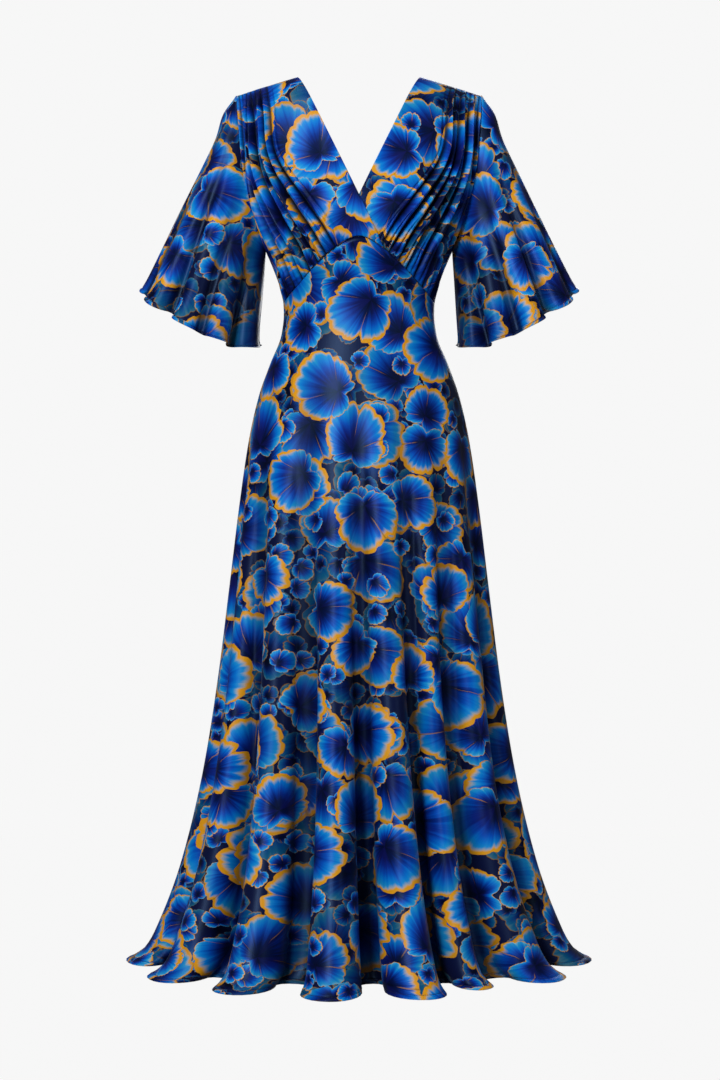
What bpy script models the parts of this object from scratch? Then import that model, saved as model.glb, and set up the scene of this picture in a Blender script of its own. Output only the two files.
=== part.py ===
"""A full-length tea dress, worn but with nobody in it: a wrap bodice gathered into an arched seam,
flared elbow sleeves and a fluted skirt cut in one with its midriff.

Metres, +Z up. The origin is midway between the two neck ends of the shoulder seams, where the wearer's
shoulders carry the dress. The front faces -Y. An angle round the body is 0 at the centre front, and it
is positive towards +X, the wearer's left. Sections are ellipses, and the tables give their sizes in mm.
"""

import bmesh
import bpy
import numpy as np

MM = 0.001
WALL = 1.5 * MM
SEAM_GAP = 0.3 * MM
SHOULDER_SEAM_GAP = 1 * MM  # between the middles of the two walls, which lean towards each other

# The shoulders and the two V necks.
NECK_HALF_WIDTH = 99 * MM
SHOULDER_TIP = (198 * MM, -28 * MM)  # across, height
SHOULDER_ROUNDING = 50 * MM  # how far below its seam the cloth takes to round over the shoulder
BACK_V_DEPTH = 218 * MM
LAP = 3.6 * MM  # how far the wearer's right front stands off the left one under it
LAP_FADE = (50 * MM, 85 * MM)  # where it comes back to the form, from the centre
LAP_BEND = -2 * MM  # how far the V edge bends outwards between its ends; below 0, inwards

# The armholes, the waist and the hem.
UNDERARM_HEIGHT = -276 * MM
SIDE_WAIST_HEIGHT = -366 * MM
HIP_HEIGHT = -455 * MM  # the flutes of the skirt start here
HEM_HEIGHT = -1418 * MM

# Half sizes of the body's sections, out to the crests of the flutes.
FORM = [  # height, half width, front depth, back depth
    (0, 214, 84, 88),
    (-30, 212, 88, 92),
    (-118, 205, 100, 104),
    (-180, 190, 113, 105),
    (-235, 170, 122, 102),
    (-276, 151.5, 119, 98),
    (-316, 134.7, 109, 93),
    (-340, 126.6, 103, 90),
    (-364, 121.8, 99, 88),
    (-380, 121.2, 98, 88),
    (-413, 125, 99, 93),
    (-461, 143.5, 105, 108),
    (-510, 161, 113, 124),
    (-582, 177.4, 124, 138),
    (-680, 192, 139, 150),
    (-824, 209.7, 162, 170),
    (-969, 228, 187, 192),
    (-1115, 251.6, 216, 220),
    (-1260, 286.3, 254, 256),
    (-1357, 322, 288, 290),
    (-1400, 345, 306, 308),
    (-1418, 371, 317, 318),
]
ARCH = [  # angle, height of the seam between the gathered bodice and the skirt's midriff
    (0, -271),
    (16, -290),
    (32, -316),
    (51, -342),
    (70, -358),
    (90, -366),
]
# Armholes: height, distance from the centre.
FRONT_ARMHOLE = [(-28, 198), (-80, 193), (-133, 188), (-180, 180), (-235, 165), (-276, 151.5)]
BACK_ARMHOLE = [(-28, 198), (-80, 195), (-133, 193), (-180, 184), (-235, 166), (-276, 151.5)]
FRONT_SPREAD = [  # share across a front, angle where that line of cloth meets the arched seam
    (0, -15),
    (0.4, 8),
    (0.6, 21),
    (0.8, 40),
    (0.93, 62),
    (1, 90),
]
BUST = {"across": 76 * MM, "height": -222 * MM, "wide": 50 * MM, "tall": 55 * MM, "full": 11 * MM}

# The gathers of a front: folds that run from the arched seam up to the shoulder.
GATHERS_FROM = 0.4  # share across a front where they start
GATHERS_PUSHED = [(0, 0), (0.3, 0.1), (0.6, 0.2), (0.85, 0.08), (1, 0)]  # share up, share outwards
GATHERS = 10
GATHER_EDGE_LOSS = 0.55  # how much shallower the folds are at the side seam and the armhole
GATHER_DEPTH = [(0, 2.4), (0.12, 6), (0.35, 5.5), (0.65, 2.6), (0.88, 1.6), (1, 1)]  # share up, mm

# The flutes of the skirt, one row for each crest all round. valley is how far the cloth goes in
# between this crest and the next one at the hem, and set_in is how far the crest itself stands back.
FLUTES = [  # angle at the hip, angle at the hem, valley in mm, set_in in mm
    (-90, -90, 74, 0),
    (-71, -57, 92, 0),
    (-45, -32, 112, 0),
    (-13, -6.8, 124, 0),
    (10, 16, 88, 0),
    (33, 33, 74, 34),
    (56, 56, 84, 6),
    (90, 90, 78, 0),
    (112, 110, 92, 8),
    (134, 130, 88, 0),
    (153, 151, 104, 10),
    (171, 172, 112, 0),
    (189, 194, 96, 8),
    (208, 213, 104, 0),
    (228, 232, 84, 12),
    (249, 251, 82, 0),
]
RIGHT_SIDE_FLUTE = 0
LEFT_SIDE_FLUTE = 7
FLUTE_GROWTH = 1.55  # how late the flutes deepen on the way down
FLUTE_VALLEY_SHARPNESS = 2.8  # above 1, crests are broad and valleys narrow

# A sleeve: a ring of cloth that flares from the armhole to a slanting hem.
SLEEVE_HEM_OUTER = (351 * MM, -341 * MM)  # across, height
SLEEVE_HEM_INNER = (157 * MM, -428 * MM)
SLEEVE_HALF_DEPTH = 102 * MM
SLEEVE_FRONT_DROP = 32 * MM
SLEEVE_BACK_DROP = 6 * MM
SLEEVE_START = 3 * MM  # how far out from the armhole's edge the sleeve's wall starts
SLEEVE_FLUTES = [  # angle round the sleeve from its top, depth in mm
    (0, 5),
    (38, 17),
    (74, 20),
    (112, 17),
    (150, 10),
    (205, 9),
    (250, 15),
    (296, 16),
    (332, 9),
]

# How finely each piece is faceted.
SKIRT_STEPS_A_FLUTE = 6
SKIRT_ROWS = 7
MIDRIFF_ROWS = [0, 0.35, 0.7]
SEAM_STRIP = 0.06  # the share of a flute next to a side seam that has a facet of its own
SKIRT_ROWS_CLOSE_UP = 0.85  # below 1, the skirt's rows of facets lie closer together towards the hem
SLEEVE_STEPS_A_FLUTE = 4
SLEEVE_ROWS = 5
FRONT_PLAIN_STEPS = 8
BACK_STEPS = 9
BODICE_ROWS = [0.0016, 0.07, 0.16, 0.28, 0.4, 0.52, 0.64, 0.76, 0.86, 0.93, 0.98, 0.99999]
BODICE_OUTER_SHARE = 0.9988  # the last column of facets, just short of the side seam and the armhole

CLOTH_COLOUR = (0.010, 0.035, 0.30, 1.0)
CLOTH_ROUGHNESS = 0.38


def smooth(table, at, column=1):
    """Reads a column of a table at a value of its first column, on a cubic that doesn't overshoot."""
    rows = sorted(table)
    x = np.array([row[0] for row in rows], float)
    y = np.array([row[column] for row in rows], float)
    slope = np.diff(y) / np.diff(x)
    bend = np.zeros(len(x))
    bend[0], bend[-1] = slope[0], slope[-1]
    same_way = slope[:-1] * slope[1:] > 0
    bend[1:-1][same_way] = 2 / (1 / slope[:-1][same_way] + 1 / slope[1:][same_way])
    at = float(np.clip(at, x[0], x[-1]))
    i = int(np.clip(np.searchsorted(x, at) - 1, 0, len(slope) - 1))
    wide = x[i + 1] - x[i]
    t = (at - x[i]) / wide
    return float(
        y[i] * (1 + 2 * t) * (1 - t) ** 2
        + bend[i] * wide * t * (1 - t) ** 2
        + y[i + 1] * t * t * (3 - 2 * t)
        + bend[i + 1] * wide * t * t * (t - 1)
    )


def ease(low, high, at):
    """0 below low and 1 above high, with a smooth step between."""
    t = np.clip((at - low) / (high - low), 0, 1)
    return float(t * t * (3 - 2 * t))


def form_at(height):
    """The half width and the front and back depths of the body's section at a height."""
    return [smooth(FORM, height / MM, column) * MM for column in (1, 2, 3)]


def shoulder_line(across):
    """The height of the shoulder seam at a distance from the centre."""
    slope = SHOULDER_TIP[1] / (SHOULDER_TIP[0] - NECK_HALF_WIDTH)
    return max(abs(across) - NECK_HALF_WIDTH, 0) * slope


def body_point(angle, height, back=False, out=0.0):
    """A point on the body's form. Angles are in degrees from the centre front or the centre back."""
    half_width, front, rear = form_at(height)
    turn = np.radians(angle)
    deep = rear if back else front
    across = half_width * np.sin(turn)
    if not back:
        for side in (-1, 1):
            off = ((across - side * BUST["across"]) / BUST["wide"]) ** 2
            off += ((height - BUST["height"]) / BUST["tall"]) ** 2
            deep += BUST["full"] * np.exp(-off)
    below = np.clip((shoulder_line(across) - height) / SHOULDER_ROUNDING, 0, 1)
    deep *= np.sqrt(1 - (1 - below) ** 2)
    outward = np.array([np.sin(turn) * deep, np.cos(turn) * half_width, 0.0])
    outward /= max(np.linalg.norm(outward), 1e-9)
    along = deep * np.cos(turn)
    point = np.array([across, along, height]) + outward * out
    return point * [1, 1 if back else -1, 1]


def cloth_point(across, height, back=False, out=0.0):
    """A point on the body's form at a distance from the centre and a height."""
    share = np.clip(across / form_at(height)[0], -1, 1)
    return body_point(np.degrees(np.arcsin(share)), height, back, out)


def patch(bottom, top, inner, outer, across, up):
    """A point of a four-sided patch, from its four edges: each gives a place at a share along it."""
    corners = [inner(0), outer(0), inner(1), outer(1)]
    blend = (1 - across) * inner(up) + across * outer(up)
    blend = blend + (1 - up) * bottom(across) + up * top(across)
    flat = (1 - up) * ((1 - across) * corners[0] + across * corners[1])
    flat = flat + up * ((1 - across) * corners[2] + across * corners[3])
    return blend - flat


def shoulder_edge(across):
    """The shoulder seam, from the neck to the tip, as distance from the centre and height."""
    x = NECK_HALF_WIDTH + across * (SHOULDER_TIP[0] - NECK_HALF_WIDTH)
    return np.array([x, shoulder_line(x)])


def side_edge(armhole, up):
    """The side seam up to the underarm and then the armhole, as distance from the centre and height."""
    height = SIDE_WAIST_HEIGHT + up * (SHOULDER_TIP[1] - SIDE_WAIST_HEIGHT)
    if height < UNDERARM_HEIGHT:
        return np.array([form_at(height)[0], height])
    return np.array([smooth(armhole, height / MM) * MM, height])


def arch_height(angle):
    """The height of the arched seam at an angle from the centre front, rounded over at its top."""
    other_side = [(-row[0], row[1]) for row in ARCH[1:]]
    return smooth(other_side + ARCH, angle) * MM


def front_place(across, up):
    """Where a line of a front's cloth runs: across from the V edge, up from the arch."""

    def bottom(share):
        angle = smooth(FRONT_SPREAD, share)
        height = arch_height(angle)
        return np.array([form_at(height)[0] * np.sin(np.radians(angle)), height])

    lap_end = bottom(0)
    neck_end = np.array([NECK_HALF_WIDTH, 0.0])

    def inner(share):
        bend = LAP_BEND * 4 * share * (1 - share)
        return lap_end + share * (neck_end - lap_end) + np.array([bend, 0.0])

    return patch(bottom, shoulder_edge, inner, lambda t: side_edge(FRONT_ARMHOLE, t), across, up)


def front_point(across, up, side):
    """A point of a front. side is 1 for the wearer's left and -1 for the right, which laps over it."""
    start = GATHERS_FROM + smooth(GATHERS_PUSHED, up)
    past = max(across - GATHERS_FROM, 0) / (1 - GATHERS_FROM)
    pushed = start + past * (1 - start) if past > 0 else across / GATHERS_FROM * start
    x, height = front_place(pushed, up)
    fold = abs(np.cos(np.pi * GATHERS * past)) if past > 0 else 1.0
    strength = ease(0, 0.25, past) * (1 - GATHER_EDGE_LOSS * ease(0.85, 1, past))
    out = (fold - 0.5) * smooth(GATHER_DEPTH, up) * MM * strength
    if side < 0:
        out += LAP * (1 - ease(*LAP_FADE, x))
    return cloth_point(x, height, out=out) * [side, 1, 1]


def back_point(across, up, side):
    """A point of the bodice back. across runs from the centre and its V to the side, up from the waist."""
    notch = 1 - BACK_V_DEPTH / -SIDE_WAIST_HEIGHT

    def bottom(share):
        angle = np.radians(90.0 * share)
        return np.array([form_at(SIDE_WAIST_HEIGHT)[0] * np.sin(angle), SIDE_WAIST_HEIGHT])

    def inner(share):
        rise = max(share - notch, 0) / (1 - notch)
        return np.array([NECK_HALF_WIDTH * rise, SIDE_WAIST_HEIGHT * (1 - share)])

    x, height = patch(bottom, shoulder_edge, inner, lambda t: side_edge(BACK_ARMHOLE, t), across, up)
    return cloth_point(x, height, back=True) * [side, 1, 1]


def flute_place(turn):
    """The crest before a place round the skirt, the one after it, and the share between them."""
    crest = int(np.floor(turn))
    return crest % len(FLUTES), (crest + 1) % len(FLUTES), turn - crest


def skirt_angle(turn, height):
    """The angle round the body of a line of the skirt's cloth: turn counts the flutes."""
    before, after, share = flute_place(turn)
    down = np.clip((HIP_HEIGHT - height) / (HIP_HEIGHT - HEM_HEIGHT), 0, 1)
    angles = []
    for row in (before, after):
        hip, hem = FLUTES[row][:2]
        angles.append(hip + (hem - hip) * down)
    if after == 0:
        angles[1] += 360
    return angles[0] + share * (angles[1] - angles[0]) + 360 * (int(np.floor(turn)) // len(FLUTES))


def skirt_point(turn, height):
    """A point of the skirt, on the form at the hip and fluted below it."""
    before, after, share = flute_place(turn)
    angle = skirt_angle(turn, height)
    down = np.clip((HIP_HEIGHT - height) / (HIP_HEIGHT - HEM_HEIGHT), 0, 1)
    rise = (1 - np.cos(2 * np.pi * share)) / 2
    between = (1 - np.cos(np.pi * share)) / 2
    set_in = FLUTES[before][3] * (1 - between) + FLUTES[after][3] * between
    inward = (FLUTES[before][2] * rise**FLUTE_VALLEY_SHARPNESS + set_in) * MM * down**FLUTE_GROWTH
    wrapped = (angle + 180) % 360 - 180
    if abs(wrapped) <= 90:
        return body_point(wrapped, height, out=-inward)
    return body_point(np.sign(wrapped) * (180 - abs(wrapped)), height, back=True, out=-inward)


def sleeve_point(turn, down, side):
    """A point of a sleeve. turn counts its flutes from the top, round the front; down runs 0 to 1."""
    crest = int(np.floor(turn))
    before = crest % len(SLEEVE_FLUTES)
    after = (crest + 1) % len(SLEEVE_FLUTES)
    share = turn - crest
    start = SLEEVE_FLUTES[before][0]
    end = SLEEVE_FLUTES[after][0] + (360 if after == 0 else 0)
    around = np.radians(start + share * (end - start))
    top_height, low_height = SHOULDER_TIP[1], UNDERARM_HEIGHT
    height = (top_height + low_height) / 2 + (top_height - low_height) / 2 * np.cos(around)
    behind = np.sin(around) < 0
    armhole = BACK_ARMHOLE if behind else FRONT_ARMHOLE
    at_armhole = cloth_point(smooth(armhole, height / MM) * MM, height, back=behind)
    at_armhole += np.array([SLEEVE_START, 0, 0.0])
    outer, inner = np.array(SLEEVE_HEM_OUTER), np.array(SLEEVE_HEM_INNER)
    x, z = (outer + inner) / 2 + (outer - inner) / 2 * np.cos(around)
    depth = SLEEVE_FLUTES[before][1] * MM * down**1.4 * (1 - np.cos(2 * np.pi * share)) / 2
    drop = SLEEVE_BACK_DROP if behind else SLEEVE_FRONT_DROP
    at_hem = np.array([x, -SLEEVE_HALF_DEPTH * np.sin(around), z - drop * abs(np.sin(around))])
    centre = np.array([(outer[0] + inner[0]) / 2, 0, at_hem[2]])
    inward = centre - at_hem
    inward /= max(np.linalg.norm(inward), 1e-9)
    spread = down**0.9
    return (at_armhole * (1 - spread) + at_hem * spread + inward * depth) * [side, 1, 1]


def surface(name, rows, round_it=False):
    """A sheet of faces from rows of points, which close up into a tube if round_it is set."""
    mesh = bpy.data.meshes.new(name)
    made = bmesh.new()
    grid = [[made.verts.new(point) for point in row] for row in rows]
    for low, high in zip(grid, grid[1:]):
        pairs = list(zip(low, high))
        if round_it:
            pairs.append(pairs[0])
        for (a, b), (c, d) in zip(pairs, pairs[1:]):
            made.faces.new((a, c, d, b))
    made.to_mesh(mesh)
    made.free()
    return mesh


def cloth_material():
    """Printed satin, as one plain colour."""
    material = bpy.data.materials.new("printed_satin")
    material.use_nodes = True
    shader = material.node_tree.nodes["Principled BSDF"]
    shader.inputs["Base Color"].default_value = CLOTH_COLOUR
    shader.inputs["Roughness"].default_value = CLOTH_ROUGHNESS
    shader.inputs["Metallic"].default_value = 0.0
    return material


def outwards_share(mesh):
    """How much of a sheet faces away from the dress's own middle, from -1 to 1."""
    total = 0.0
    for face in mesh.polygons:
        away = np.array([face.center.x, face.center.y, 0.0])
        total += np.sign(np.dot(face.normal, away)) * face.area
    return total


def cloth_piece(name, mesh, material, facing_out=None):
    """One piece of the dress: a sheet given its wall by Solidify."""
    made = bmesh.new()
    made.from_mesh(mesh)
    bmesh.ops.remove_doubles(made, verts=made.verts, dist=0.01 * MM)
    bmesh.ops.recalc_face_normals(made, faces=made.faces)
    made.to_mesh(mesh)
    made.free()
    if (outwards_share(mesh) if facing_out is None else facing_out(mesh)) < 0:
        mesh.flip_normals()
    piece = bpy.data.objects.new(name, mesh)
    bpy.context.scene.collection.objects.link(piece)
    mesh.materials.append(material)
    mesh.shade_smooth()
    wall = piece.modifiers.new("wall", "SOLIDIFY")
    wall.thickness = WALL
    wall.offset = 0
    return piece


def bodice_steps():
    """The shares across a front where its columns are: one on each crest and valley of the gathers."""
    plain = np.linspace(0, GATHERS_FROM, FRONT_PLAIN_STEPS, endpoint=False)
    folded = GATHERS_FROM + np.linspace(0, 1, 2 * GATHERS + 1) * (1 - GATHERS_FROM)
    return np.concatenate([plain, folded])


def make_front(name, side, material):
    """A wrap front, inset from its neighbours by half a seam gap."""
    across = bodice_steps()
    across[-1] = BODICE_OUTER_SHARE
    rows = [[front_point(a, u, side) for a in across] for u in BODICE_ROWS]
    for point in rows[-1]:
        point[1] = -SHOULDER_SEAM_GAP / 2
    return cloth_piece(name, surface(name, rows), material)


def make_back(name, material):
    """The bodice back, in one piece from side to side with a V cut into it."""
    across = np.linspace(0, 1, BACK_STEPS)
    across[-1] = BODICE_OUTER_SHARE
    up = np.array(BODICE_ROWS)
    notch = (SIDE_WAIST_HEIGHT + BACK_V_DEPTH) / SIDE_WAIST_HEIGHT
    up[np.argmin(abs(up - notch))] = notch
    halves = []
    for side in (-1, 1):
        rows = [[back_point(a, u, side) for a in across] for u in up]
        for point in rows[-1]:
            point[1] = SHOULDER_SEAM_GAP / 2
        halves.append(surface(name, rows))
    whole = bmesh.new()
    for half in halves:
        whole.from_mesh(half)
        bpy.data.meshes.remove(half)
    mesh = bpy.data.meshes.new(name)
    whole.to_mesh(mesh)
    whole.free()
    return cloth_piece(name, mesh, material)


def skirt_turns(front):
    """Where round the skirt, counted in flutes, a panel has its columns: from side seam to side seam."""
    first, last = (RIGHT_SIDE_FLUTE, LEFT_SIDE_FLUTE) if front else (LEFT_SIDE_FLUTE, len(FLUTES))
    turns = np.linspace(first, last, (last - first) * SKIRT_STEPS_A_FLUTE + 1)
    return np.concatenate([[first, first + SEAM_STRIP], turns[1:-1], [last - SEAM_STRIP, last]])


def make_skirt(name, front, material):
    """The front or back of the skirt, from one side seam to the other. Both seams are on a crest."""
    turns = skirt_turns(front)
    seam = 1 if front else -1
    top = SIDE_WAIST_HEIGHT - SEAM_GAP
    rows = []
    for share in MIDRIFF_ROWS:
        row = []
        for turn in turns:
            angle = skirt_angle(turn, HIP_HEIGHT)
            if front:
                top = arch_height(angle) - SEAM_GAP
            row.append(skirt_point(turn, top + share * (HIP_HEIGHT - top)))
        rows.append(row)
    for down in np.linspace(0, 1, SKIRT_ROWS + 1) ** SKIRT_ROWS_CLOSE_UP:
        height = HIP_HEIGHT + (HEM_HEIGHT - HIP_HEIGHT) * down
        rows.append([skirt_point(turn, height) for turn in turns])
    for row in rows:
        for point in (row[0], row[-1]):
            point[1] = -seam * SEAM_GAP / 2
    return cloth_piece(name, surface(name, rows), material)


def make_sleeve(name, side, material):
    """A sleeve, open at the armhole and at its hem."""
    turns = np.arange(len(SLEEVE_FLUTES) * SLEEVE_STEPS_A_FLUTE) / SLEEVE_STEPS_A_FLUTE
    rows = []
    for down in np.linspace(0, 1, SLEEVE_ROWS + 1):
        rows.append([sleeve_point(t, down, side) for t in turns])

    def out_of_sleeve(mesh):
        middle = np.array([side * (SLEEVE_HEM_OUTER[0] + SLEEVE_HEM_INNER[0]) / 2, 0, 0])
        return sum(
            np.dot(face.normal, (np.array(face.center) - middle) * [1, 1, 0]) * face.area
            for face in mesh.polygons
        )

    return cloth_piece(name, surface(name, rows, round_it=True), material, out_of_sleeve)


def main():
    for old in list(bpy.data.objects):
        bpy.data.objects.remove(old)
    material = cloth_material()
    make_front("bodice_front_right", -1, material)
    make_front("bodice_front_left", 1, material)
    make_back("bodice_back", material)
    make_skirt("skirt_front", True, material)
    make_skirt("skirt_back", False, material)
    make_sleeve("sleeve_right", -1, material)
    make_sleeve("sleeve_left", 1, material)


main()
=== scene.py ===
# %% [markdown]
# # A printed satin tea dress
#
# The dress is worn by nobody: it keeps the hollow shape that a wearer gives it. Every panel gets a fine
# shell here that stands in for its plain solid: the gathers of the bodice, the flutes of the skirt and
# sleeves, and the hems.

import bmesh
import bpy
import numpy as np
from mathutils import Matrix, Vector


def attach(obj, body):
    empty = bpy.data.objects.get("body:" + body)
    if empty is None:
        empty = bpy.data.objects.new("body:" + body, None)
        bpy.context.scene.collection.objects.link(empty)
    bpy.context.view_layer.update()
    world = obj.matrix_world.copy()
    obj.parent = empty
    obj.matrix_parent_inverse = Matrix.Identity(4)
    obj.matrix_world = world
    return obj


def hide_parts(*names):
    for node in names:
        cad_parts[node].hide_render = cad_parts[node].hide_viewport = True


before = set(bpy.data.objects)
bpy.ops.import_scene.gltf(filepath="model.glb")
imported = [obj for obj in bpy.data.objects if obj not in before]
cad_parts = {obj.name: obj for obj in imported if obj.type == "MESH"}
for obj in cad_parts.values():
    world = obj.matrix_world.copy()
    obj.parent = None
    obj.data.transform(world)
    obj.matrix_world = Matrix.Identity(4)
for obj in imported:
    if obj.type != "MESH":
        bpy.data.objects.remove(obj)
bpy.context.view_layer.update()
MM = 0.001
print("panels:", sorted(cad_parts))

# %% [markdown]
# ## Two helpers for materials
#
# Colours are picked as sRGB hex values, and a shader works in linear light, so one function turns the
# first into the second. A second one adds a node to a tree with its settings and its links: a value in
# `inputs` is either a number or the output socket of an earlier node.


# %% Colour and node helpers
def hex_colour(code):
    """An sRGB hex code as a linear colour."""
    srgb = np.array([int(code[i : i + 2], 16) for i in (1, 3, 5)]) / 255
    linear = np.where(srgb <= 0.04045, srgb / 12.92, ((srgb + 0.055) / 1.055) ** 2.4)
    return (*linear.tolist(), 1.0)


def node(tree, kind, inputs=None, **settings):
    """Adds a node to a tree. inputs holds a value or an output socket for each input, by name or number."""
    made = tree.nodes.new(kind)
    for name, value in settings.items():
        setattr(made, name, value)
    for key, value in (inputs or {}).items():
        if isinstance(value, bpy.types.NodeSocket):
            tree.links.new(value, made.inputs[key])
        else:
            made.inputs[key].default_value = value
    return made


# %% [markdown]
# ## Camera
#
# The whole dress is seen square on from the front. The camera is level, about half-way up the dress, and
# far enough back that the hem's near crests hang only a little lower in the picture than its sides.

# %% Camera
CAMERA_DISTANCE = 3.4
CAMERA_HEIGHT = -0.7435
CAMERA_LENS = 70.3

camera_data = bpy.data.cameras.new("camera")
camera_data.lens = CAMERA_LENS
camera = bpy.data.objects.new("camera", camera_data)
camera.location = (1.6 * MM, -CAMERA_DISTANCE, CAMERA_HEIGHT)
camera.rotation_euler = (np.pi / 2, 0, 0)
bpy.context.scene.collection.objects.link(camera)
bpy.context.scene.camera = camera
bpy.context.scene.view_settings.view_transform = "Standard"
print("camera at", tuple(camera.location))

# %% [markdown]
# ## Printed satin
#
# The cloth is polyester satin with an all-over print: fans of blue petals with golden scalloped rims on a
# dark navy ground. The print is a tree of shader nodes and not a picture, so it stays sharp at any size.
#
# A Voronoi texture scatters points over the cloth. Its Position output says which point is the nearest,
# so each place knows where it is inside its own flower, in metres. A group of nodes turns that into a
# distance and an angle from the flower's throat, and compares the distance with an outline that depends
# on the angle: that draws one sparse layer of fans. Layers at different turns are painted over each
# other, as a print designer stacks motifs, until little of the ground is left.

# %% The fan motif
PETAL_TONES = [  # share of the way from the throat to the rim, colour
    (0.00, "#050c2c"),
    (0.26, "#061650"),
    (0.42, "#043096"),
    (0.57, "#0458d0"),
    (0.71, "#0486ee"),
    (0.86, "#24acf2"),
    (1.00, "#8ad6f0"),
]
FAN_INPUTS = [  # the group's inputs, with lengths in metres
    ("Place", "NodeSocketVector"),
    ("Turn", "NodeSocketFloat"),
    ("Spacing", "NodeSocketFloat"),
    ("Radius", "NodeSocketFloat"),
    ("Rim", "NodeSocketFloat"),
    ("Share", "NodeSocketFloat"),
    ("Light", "NodeSocketFloat"),
]


def fan_group():
    """A group of nodes that draws one scattered layer of fan-shaped flowers."""
    tree = bpy.data.node_groups.new("fan_flowers", "ShaderNodeTree")
    for name, kind in FAN_INPUTS:
        tree.interface.new_socket(name, in_out="INPUT", socket_type=kind)
    tree.interface.new_socket("Colour", in_out="OUTPUT", socket_type="NodeSocketColor")
    tree.interface.new_socket("Cover", in_out="OUTPUT", socket_type="NodeSocketFloat")
    given = tree.nodes.new("NodeGroupInput").outputs

    def math(operation, a, b=0.0, c=0.0):
        return node(tree, "ShaderNodeMath", {0: a, 1: b, 2: c}, operation=operation).outputs[0]

    def between(value, low, high, to_low=0.0, to_high=1.0):
        limits = {"Value": value, "From Min": low, "From Max": high, "To Min": to_low, "To Max": to_high}
        return node(tree, "ShaderNodeMapRange", limits, interpolation_type="SMOOTHSTEP").outputs[0]

    def mixed(factor, a, b):
        inputs = {"Factor": factor, "A": a, "B": b}
        return node(tree, "ShaderNodeMix", inputs, data_type="RGBA").outputs["Result"]

    def noise(w, detail):
        inputs = {"W": w, "Scale": 1.0, "Detail": detail, "Roughness": 0.6}
        return node(tree, "ShaderNodeTexNoise", inputs, noise_dimensions="1D").outputs[0]

    def turned(vector, angle):
        inputs = {"Vector": vector, "Angle": angle}
        return node(tree, "ShaderNodeVectorRotate", inputs, rotation_type="Z_AXIS").outputs[0]

    # Which flower this place belongs to, and where in it.
    laid = turned(given["Place"], given["Turn"])
    inputs = {"Vector": laid, "Scale": math("DIVIDE", 1.0, given["Spacing"]), "Randomness": 0.4}
    cells = node(tree, "ShaderNodeTexVoronoi", inputs, voronoi_dimensions="2D")
    chance = node(tree, "ShaderNodeSeparateColor", {0: cells.outputs["Color"]}).outputs
    inputs = {0: laid, 1: cells.outputs["Position"]}
    inside = node(tree, "ShaderNodeVectorMath", inputs, operation="SUBTRACT").outputs[0]
    upright = turned(inside, math("MULTIPLY", chance[0], 6.283))
    place = node(tree, "ShaderNodeSeparateXYZ", {0: upright}).outputs
    size = math("MULTIPLY", given["Radius"], between(chance[1], 0.0, 1.0, 0.78, 1.0))
    seed = math("MULTIPLY", chance[2], 40.0)

    # Distance and angle from the throat, which lies behind the middle of the fan.
    behind = math("MULTIPLY_ADD", chance[1], 0.3, 0.25)
    along = math("MULTIPLY_ADD", size, behind, place[1])
    distance = math("SQRT", math("ADD", math("POWER", place[0], 2.0), math("POWER", along, 2.0)))
    angle = math("ARCTAN2", place[0], along)
    opening = math("ABSOLUTE", angle)

    # The outline is a circle seen from the throat, cleft behind it, with petals and small scallops.
    across = math("MULTIPLY", behind, math("SINE", angle))
    reach = math("SQRT", math("SUBTRACT", 1.0, math("MULTIPLY", across, across)))
    reach = math("MULTIPLY_ADD", behind, math("COSINE", angle), reach)
    reach = math("MULTIPLY", reach, between(opening, 2.35, 3.14, 1.0, 0.5))
    wander = noise(math("MULTIPLY_ADD", angle, 0.8, seed), 0.0)
    petals = math("MULTIPLY_ADD", chance[2], 1.0, 1.6)
    petal = math("MULTIPLY_ADD", angle, petals, math("MULTIPLY", wander, 1.6))
    petal = math("ABSOLUTE", math("COSINE", petal))
    reach = math("MULTIPLY", reach, between(petal, 0.0, 0.38, 0.87, 1.0))
    scallop = math("ABSOLUTE", math("COSINE", math("MULTIPLY_ADD", angle, 8.0, seed)))
    reach = math("MULTIPLY", reach, between(scallop, 0.0, 0.75, 0.95, 1.0))
    reach = math("MULTIPLY", reach, math("MULTIPLY_ADD", wander, 0.22, 0.87))
    outline = math("MULTIPLY", reach, size)
    share = math("DIVIDE", distance, outline)
    from_rim = math("SUBTRACT", outline, distance)

    # Petal colours, from the dark throat to the pale edge, with soft streaks along each petal.
    streaks = noise(math("MULTIPLY_ADD", angle, 5.5, seed), 2.0)
    tone = math("MULTIPLY_ADD", math("SUBTRACT", streaks, 0.5), 0.34, math("ADD", share, -0.02))
    tone = math("SUBTRACT", tone, between(petal, 0.0, 0.42, 0.16, 0.0))
    ramp = node(tree, "ShaderNodeValToRGB", {0: tone})
    for stop, code in PETAL_TONES[1:-1]:
        ramp.color_ramp.elements.new(stop).color = hex_colour(code)
    ramp.color_ramp.elements[0].color = hex_colour(PETAL_TONES[0][1])
    ramp.color_ramp.elements[-1].color = hex_colour(PETAL_TONES[-1][1])
    purple = math("MULTIPLY", between(wander, 0.45, 0.7), between(share, 0.8, 0.35))
    colour = mixed(math("MULTIPLY", purple, 0.18), ramp.outputs[0], hex_colour("#2a24a8"))

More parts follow.
